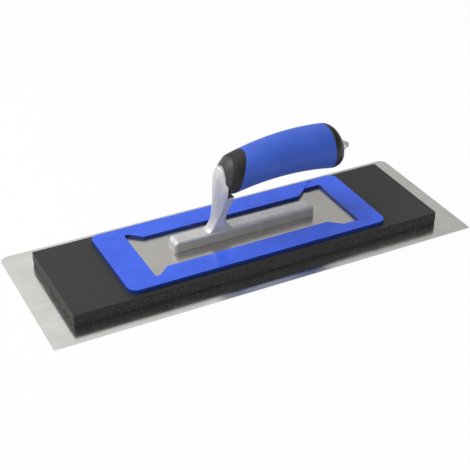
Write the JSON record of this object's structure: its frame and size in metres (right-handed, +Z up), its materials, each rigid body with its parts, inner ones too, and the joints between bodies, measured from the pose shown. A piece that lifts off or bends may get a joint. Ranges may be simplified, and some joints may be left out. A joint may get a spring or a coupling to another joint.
{
  "type": "finishing trowel",
  "caption": "Foam-backed flexible finishing trowel: thin steel blade, foam board, clip frame, and a lift-off cast handle with a soft grip.",
  "frame": {"origin": "under the middle of the steel blade, on its working face", "axes": "+X along the blade towards the tail of the handle, +Y towards the long edge with the two rounded corners, +Z up from the working face to the handle"},
  "size_m": [0.355, 0.127, 0.0893],
  "materials": {
    "blade_steel": "satin",
    "foam": "matte",
    "sheet_plastic": "satin",
    "frame_plastic": "gloss",
    "plate_steel": "satin",
    "rivet_steel": "satin",
    "cast_alloy": "satin",
    "rod_steel": "satin",
    "core_plastic": "matte",
    "ferrule_plastic": "satin",
    "band_rubber": "matte",
    "grip_rubber": "matte",
    "cap_plastic": "satin",
    "washer_steel": "satin",
    "nut_steel": "satin"
  },
  "bodies": {
    "blade_head": {"blade": "blade_steel", "foam_pad": "foam", "top_sheet": "sheet_plastic", "clip_frame": "frame_plastic"},
    "handle_unit": {"handle_plate": "plate_steel", "mounting_rivets": "rivet_steel", "bracket": "cast_alloy", "tie_rod": "rod_steel", "handle_core": "core_plastic", "nose_ferrule": "ferrule_plastic", "ferrule_band": "band_rubber", "grip_sleeve": "grip_rubber", "end_cap": "cap_plastic", "washer": "washer_steel", "handle_nut": "nut_steel"}
  },
  "joints": [
    {"name": "handle_lift", "type": "slide", "parent": "blade_head", "child": "handle_unit", "axis": [0, 0, 1], "range_m": [0, 0.06]}
  ]
}
